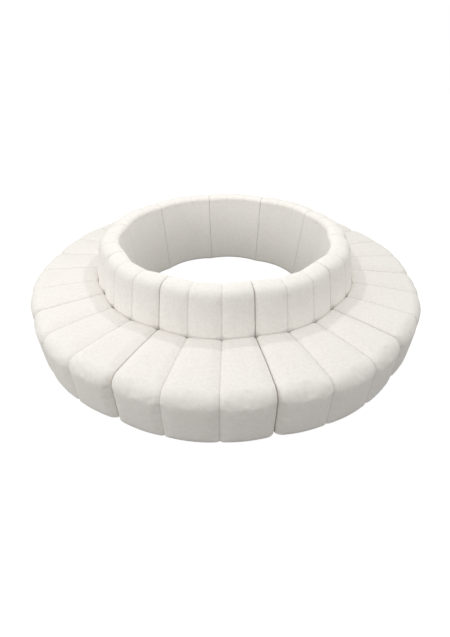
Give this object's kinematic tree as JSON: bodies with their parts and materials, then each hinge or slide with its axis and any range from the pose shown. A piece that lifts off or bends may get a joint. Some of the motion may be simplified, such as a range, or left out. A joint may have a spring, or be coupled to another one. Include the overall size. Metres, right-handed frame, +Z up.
{
  "type": "circular modular sofa",
  "caption": "Full-circle lounge sofa of equal wedge-shaped padded seats facing outwards round a ring backrest with an open round middle.",
  "frame": {"origin": "on the floor, on the ring's own axis", "axes": "+Z up along the ring's axis; the first seat faces -Y; seats are numbered anticlockwise from above"},
  "size_m": [3.6646, 3.7038, 0.7775],
  "materials": {
    "seat_upholstery": "woven, matte",
    "back_upholstery": "woven, matte",
    "panel_upholstery": "woven, matte",
    "plywood": "sanded",
    "webbing": "woven",
    "glide": "moulded"
  },
  "bodies": {
    "module_1": {"seat_hood_1": "seat_upholstery", "back_hood_1": "back_upholstery", "inner_panel_1": "panel_upholstery", "plywood_frame_1": "plywood", "seat_webbing_1": "webbing", "floor_glides_1": "glide"},
    "module_2": {"seat_hood_2": "seat_upholstery", "back_hood_2": "back_upholstery", "inner_panel_2": "panel_upholstery", "plywood_frame_2": "plywood", "seat_webbing_2": "webbing", "floor_glides_2": "glide"},
    "module_3": {"seat_hood_3": "seat_upholstery", "back_hood_3": "back_upholstery", "inner_panel_3": "panel_upholstery", "plywood_frame_3": "plywood", "seat_webbing_3": "webbing", "floor_glides_3": "glide"},
    "module_4": {"seat_hood_4": "seat_upholstery", "back_hood_4": "back_upholstery", "inner_panel_4": "panel_upholstery", "plywood_frame_4": "plywood", "seat_webbing_4": "webbing", "floor_glides_4": "glide"},
    "module_5": {"seat_hood_5": "seat_upholstery", "back_hood_5": "back_upholstery", "inner_panel_5": "panel_upholstery", "plywood_frame_5": "plywood", "seat_webbing_5": "webbing", "floor_glides_5": "glide"},
    "module_6": {"seat_hood_6": "seat_upholstery", "back_hood_6": "back_upholstery", "inner_panel_6": "panel_upholstery", "plywood_frame_6": "plywood", "seat_webbing_6": "webbing", "floor_glides_6": "glide"},
    "module_7": {"seat_hood_7": "seat_upholstery", "back_hood_7": "back_upholstery", "inner_panel_7": "panel_upholstery", "plywood_frame_7": "plywood", "seat_webbing_7": "webbing", "floor_glides_7": "glide"},
    "module_8": {"seat_hood_8": "seat_upholstery", "back_hood_8": "back_upholstery", "inner_panel_8": "panel_upholstery", "plywood_frame_8": "plywood", "seat_webbing_8": "webbing", "floor_glides_8": "glide"},
    "module_9": {"seat_hood_9": "seat_upholstery", "back_hood_9": "back_upholstery", "inner_panel_9": "panel_upholstery", "plywood_frame_9": "plywood", "seat_webbing_9": "webbing", "floor_glides_9": "glide"},
    "module_10": {"seat_hood_10": "seat_upholstery", "back_hood_10": "back_upholstery", "inner_panel_10": "panel_upholstery", "plywood_frame_10": "plywood", "seat_webbing_10": "webbing", "floor_glides_10": "glide"}
  },
  "joints": [
    {"name": "module_2_pull_out", "type": "slide", "parent": "module_1", "child": "module_2", "axis": [0.5878, -0.809, 0], "range_m": [0, 0.9]},
    {"name": "module_3_pull_out", "type": "slide", "parent": "module_1", "child": "module_3", "axis": [0.9511, -0.309, 0], "range_m": [0, 0.9]},
    {"name": "module_4_pull_out", "type": "slide", "parent": "module_1", "child": "module_4", "axis": [0.9511, 0.309, 0], "range_m": [0, 0.9]},
    {"name": "module_5_pull_out", "type": "slide", "parent": "module_1", "child": "module_5", "axis": [0.5878, 0.809, 0], "range_m": [0, 0.9]},
    {"name": "module_6_pull_out", "type": "slide", "parent": "module_1", "child": "module_6", "axis": [0, 1, 0], "range_m": [0, 0.9]},
    {"name": "module_7_pull_out", "type": "slide", "parent": "module_1", "child": "module_7", "axis": [-0.5878, 0.809, 0], "range_m": [0, 0.9]},
    {"name": "module_8_pull_out", "type": "slide", "parent": "module_1", "child": "module_8", "axis": [-0.9511, 0.309, 0], "range_m": [0, 0.9]},
    {"name": "module_9_pull_out", "type": "slide", "parent": "module_1", "child": "module_9", "axis": [-0.9511, -0.309, 0], "range_m": [0, 0.9]},
    {"name": "module_10_pull_out", "type": "slide", "parent": "module_1", "child": "module_10", "axis": [-0.5878, -0.809, 0], "range_m": [0, 0.9]}
  ]
}
